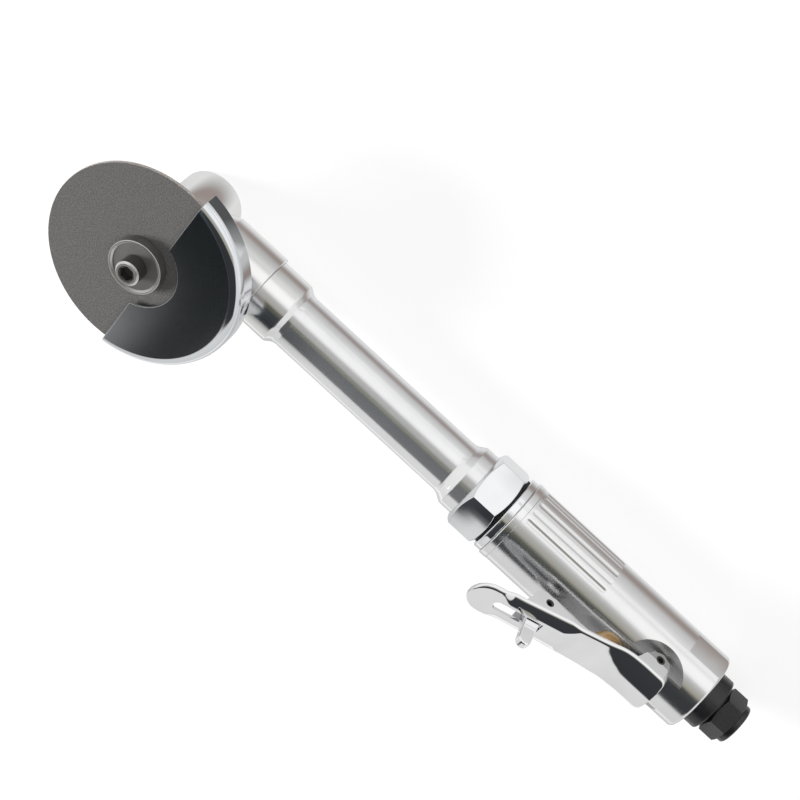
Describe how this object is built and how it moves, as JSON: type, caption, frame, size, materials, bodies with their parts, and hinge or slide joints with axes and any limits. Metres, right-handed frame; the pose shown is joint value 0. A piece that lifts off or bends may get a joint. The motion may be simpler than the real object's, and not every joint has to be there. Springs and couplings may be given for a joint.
{
  "type": "pneumatic cut off tool",
  "caption": "Air-driven cut-off tool with a fluted motor handle, throttle lever with lock tab, long extension tube, right-angle head, thin wheel and half-round guard.",
  "frame": {"origin": "centre of the air inlet's mouth, on the tool's axis", "axes": "+X along the tool from the air inlet towards the wheel head, +Z along the spindle out of the wheel's front face, which is up when the tool lies on its back, +Y by the right-hand rule"},
  "size_m": [0.306, 0.0818, 0.0635],
  "materials": {
    "polished_aluminium": "polished",
    "chrome": "mirror",
    "lever_chrome": "polished",
    "black_oxide": "satin",
    "dark_steel": "satin",
    "steel": "ground",
    "brass": "turned",
    "rubber": "matte",
    "felt": "matte",
    "vane_resin": "matte",
    "abrasive": "gritty"
  },
  "bodies": {
    "handle": {"motor_housing": "polished_aluminium", "inlet_bushing": "black_oxide", "inlet_screen": "brass", "exhaust_sleeve": "black_oxide", "exhaust_muffler": "felt", "valve_bushing": "brass", "valve_spring": "steel", "lever_pin": "dark_steel", "rear_end_plate": "steel", "motor_cylinder": "steel", "front_end_plate": "steel", "rear_rotor_bearing": "steel", "front_rotor_bearing": "steel", "lock_ring": "chrome", "nut_seal": "rubber", "clamp_nut": "chrome", "extension_tube": "polished_aluminium", "rear_shaft_bearing": "steel", "front_shaft_bearing": "steel", "angle_head": "polished_aluminium", "pinion_bearing": "steel", "lower_spindle_bearing": "steel", "upper_spindle_bearing": "steel", "outer_spindle_bearing": "steel", "bearing_retainer": "steel", "head_cap": "polished_aluminium"},
    "lever": {"throttle_lever": "lever_chrome", "lock_pin": "dark_steel", "lock_spring": "steel"},
    "lock": {"lock_tab": "lever_chrome"},
    "valve": {"valve_stem": "brass", "valve_seal": "rubber"},
    "motor": {"rotor": "steel", "vane_1": "vane_resin", "vane_2": "vane_resin", "vane_3": "vane_resin", "vane_4": "vane_resin", "shaft_coupling": "steel", "drive_shaft": "steel", "bevel_pinion": "steel"},
    "spindle": {"bevel_gear": "steel", "spindle": "steel", "inner_flange": "dark_steel", "cut_off_wheel": "abrasive", "outer_flange": "dark_steel", "wheel_screw": "dark_steel"},
    "guard": {"guard_collar": "chrome", "wheel_guard": "chrome", "guard_clamp_screw": "black_oxide", "guard_clamp_nut": "black_oxide"}
  },
  "joints": [
    {"name": "spindle_spin", "type": "hinge", "parent": "handle", "child": "spindle", "pos_m": [0.2679, 0, 0.02], "axis": [0, 0, 1], "continuous": true},
    {"name": "motor_spin", "type": "hinge", "parent": "handle", "child": "motor", "pos_m": [0.087, 0, 0], "axis": [1, 0, 0], "continuous": true},
    {"name": "lever_press", "type": "hinge", "parent": "handle", "child": "lever", "pos_m": [0.0382, 0, 0.0125], "axis": [0, 1, 0], "range_deg": [0, 10], "stiffness_Nm_per_rad": 0.3, "springref_deg": -20.05},
    {"name": "valve_slide", "type": "slide", "parent": "handle", "child": "valve", "axis": [0, 0, -1], "range_m": [0, 0.0042], "deforming": ["valve_spring"]},
    {"name": "lock_flip", "type": "hinge", "parent": "lever", "child": "lock", "pos_m": [0.08174, 0, 0.02814], "axis": [0, 1, 0], "range_deg": [0, 45], "stiffness_Nm_per_rad": 0.01, "springref_deg": -28.65},
    {"name": "guard_turn", "type": "hinge", "parent": "handle", "child": "guard", "pos_m": [0.2679, 0, 0.023], "axis": [0, 0, 1], "range_deg": [-90, 90]}
  ],
  "couplings": [
    {"joint": "motor_spin", "follows": "spindle_spin", "ratio": -1},
    {"joint": "valve_slide", "follows": "lever_press", "m_per_rad": 0.0206}
  ]
}
